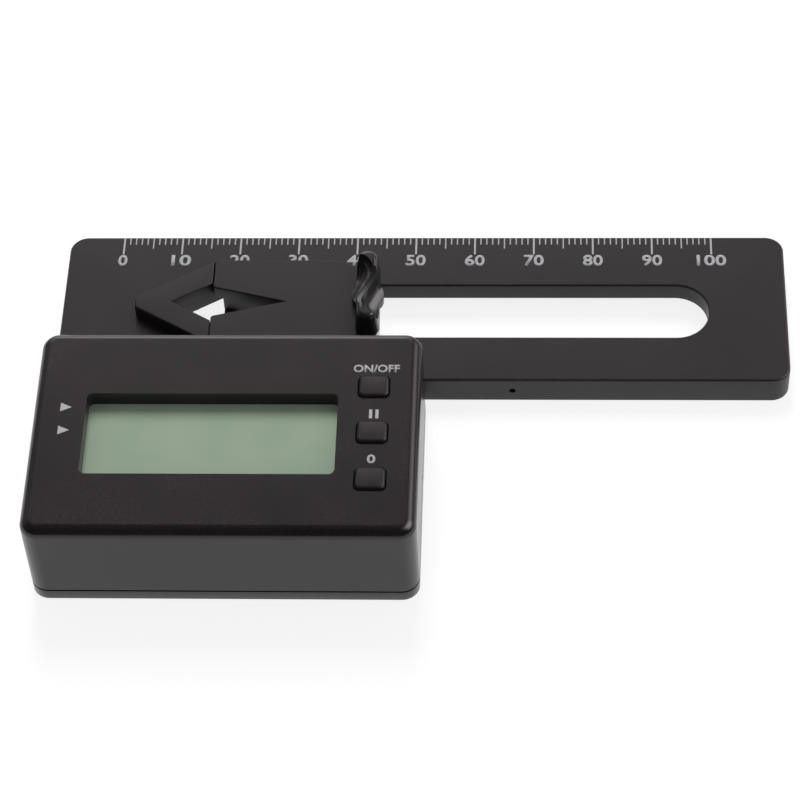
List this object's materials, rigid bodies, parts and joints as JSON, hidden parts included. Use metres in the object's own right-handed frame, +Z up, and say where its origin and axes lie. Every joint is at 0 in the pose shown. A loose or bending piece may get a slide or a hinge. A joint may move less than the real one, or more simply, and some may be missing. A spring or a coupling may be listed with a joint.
{
  "type": "digital pitch gauge",
  "caption": "Digital pitch gauge: a flat slotted scale plate with a fixed and a sliding V jaw clamped by a wing knob, and a low case with a display and keys along its front.",
  "frame": {"origin": "middle of the footprint, on the surface the gauge lies on", "axes": "+X along the scale towards its high numbers, +Y to the back edge that carries the scale, +Z up"},
  "size_m": [0.1214, 0.071, 0.0191],
  "materials": {
    "body_plastic": "fine matt moulding",
    "case_plastic": "fine matt moulding",
    "knob_plastic": "satin moulding",
    "key_plastic": "matt moulding",
    "display_glass": "pale grey green, blank",
    "clamp_steel": "machined",
    "screw_steel": "blackened",
    "can_steel": "bright",
    "contact_brass": "plated",
    "connector_rubber": "soft",
    "board_laminate": "solder mask",
    "chip_plastic": "matt",
    "switch_plastic": "matt"
  },
  "bodies": {
    "gauge": {"scale_plate": "body_plastic", "fixed_jaw": "body_plastic", "fixed_jaw_screws": "screw_steel", "case_top": "case_plastic", "case_base": "case_plastic", "case_screws": "screw_steel", "plate_screws": "screw_steel", "lcd_panel": "display_glass", "lcd_connectors": "connector_rubber", "circuit_board": "board_laminate", "board_screws": "screw_steel", "controller_chip": "chip_plastic", "tilt_sensor": "chip_plastic", "clock_crystal": "can_steel", "key_switches": "switch_plastic", "coin_cell": "can_steel", "battery_spring": "contact_brass", "battery_clip": "contact_brass"},
    "slider": {"sliding_jaw": "body_plastic", "clamp_plate": "clamp_steel"},
    "knob": {"wing_knob": "knob_plastic", "clamp_stud": "clamp_steel"},
    "button_on_off": {"key_on_off": "key_plastic", "plunger_on_off": "switch_plastic"},
    "button_hold": {"key_hold": "key_plastic", "plunger_hold": "switch_plastic"},
    "button_zero": {"key_zero": "key_plastic", "plunger_zero": "switch_plastic"},
    "cover": {"battery_cover": "case_plastic"}
  },
  "joints": [
    {"name": "jaw_slide", "type": "slide", "parent": "gauge", "child": "slider", "axis": [1, 0, 0], "range_m": [0, 0.05505]},
    {"name": "knob_turn", "type": "hinge", "parent": "slider", "child": "knob", "pos_m": [-0.00905, 0.01915, 0.00815], "axis": [0, 0, 1], "range_deg": [0, 360]},
    {"name": "press_on_off", "type": "slide", "parent": "gauge", "child": "button_on_off", "axis": [0, 0, 1], "range_m": [-0.0003, 0], "stiffness_N_per_m": 800},
    {"name": "press_hold", "type": "slide", "parent": "gauge", "child": "button_hold", "axis": [0, 0, 1], "range_m": [-0.0003, 0], "stiffness_N_per_m": 800},
    {"name": "press_zero", "type": "slide", "parent": "gauge", "child": "button_zero", "axis": [0, 0, 1], "range_m": [-0.0003, 0], "stiffness_N_per_m": 800},
    {"name": "battery_cover_twist", "type": "hinge", "parent": "gauge", "child": "cover", "pos_m": [-0.0367, -0.01555, 0.002], "axis": [0, 0, 1], "range_deg": [0, 90]}
  ]
}
